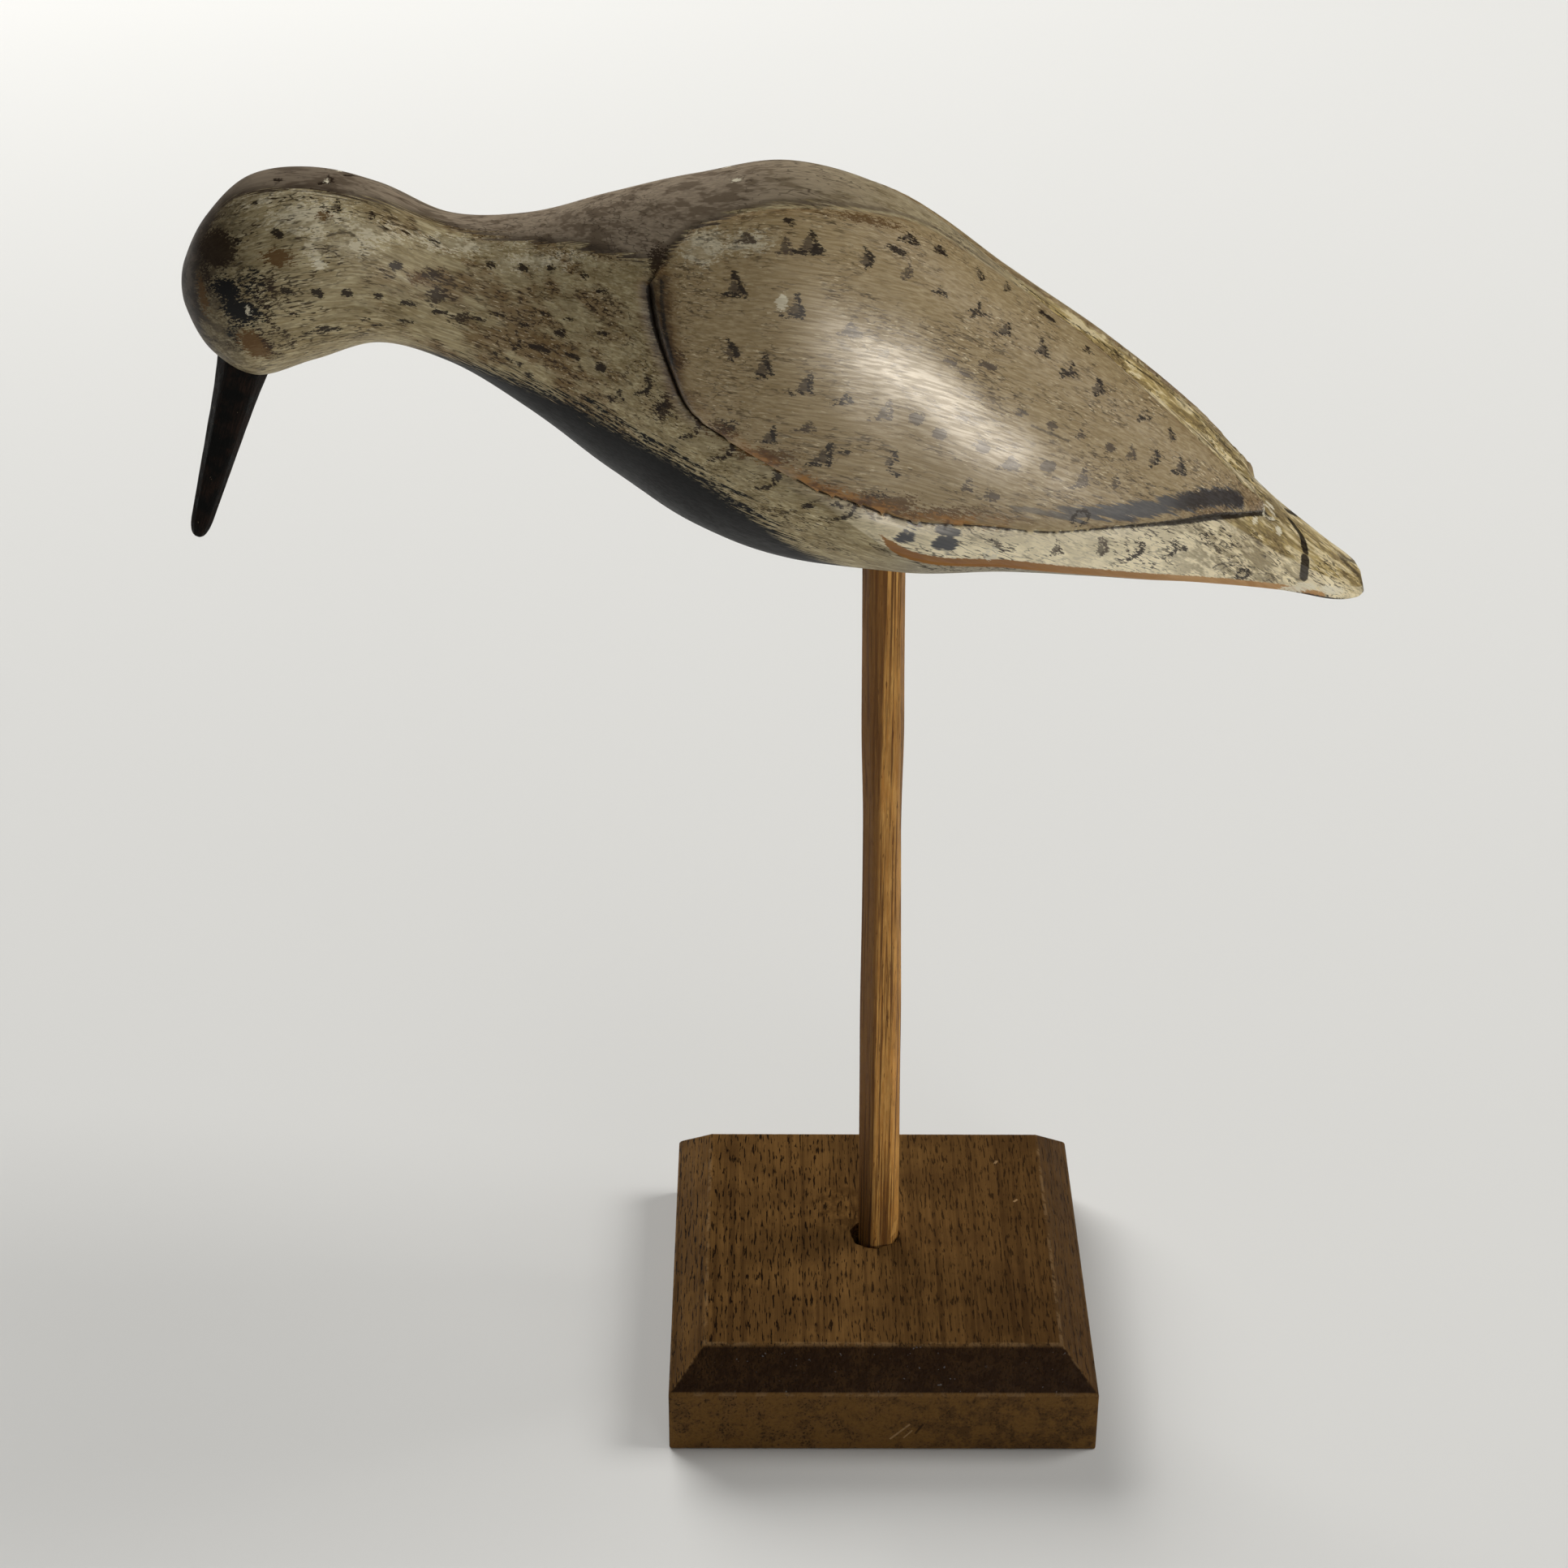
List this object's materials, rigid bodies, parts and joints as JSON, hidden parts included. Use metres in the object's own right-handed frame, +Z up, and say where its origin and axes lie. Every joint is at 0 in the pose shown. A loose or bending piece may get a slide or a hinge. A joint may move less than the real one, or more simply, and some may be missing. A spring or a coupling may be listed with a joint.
{
  "type": "shorebird decoy",
  "caption": "Carved and painted wooden shorebird with a down-turned bill, standing on a whittled stick in a square chamfered block.",
  "frame": {"origin": "middle of the base's underside, on the surface that it stands on", "axes": "+Z up, the head towards -X, the tail towards +X, the bird's left side towards -Y"},
  "size_m": [0.2247, 0.089, 0.2625],
  "materials": {
    "painted_bird": "worn grey-buff oil paint with dark spots, a dark back and a black belly",
    "black_bill": "worn black-brown paint",
    "bare_stick": "bare straight-grained softwood, satin from handling",
    "dark_block": "oiled dark walnut, satin"
  },
  "bodies": {
    "root": {"decoy_body": "painted_bird", "bill": "black_bill", "stick": "bare_stick", "base": "dark_block"}
  },
  "joints": []
}
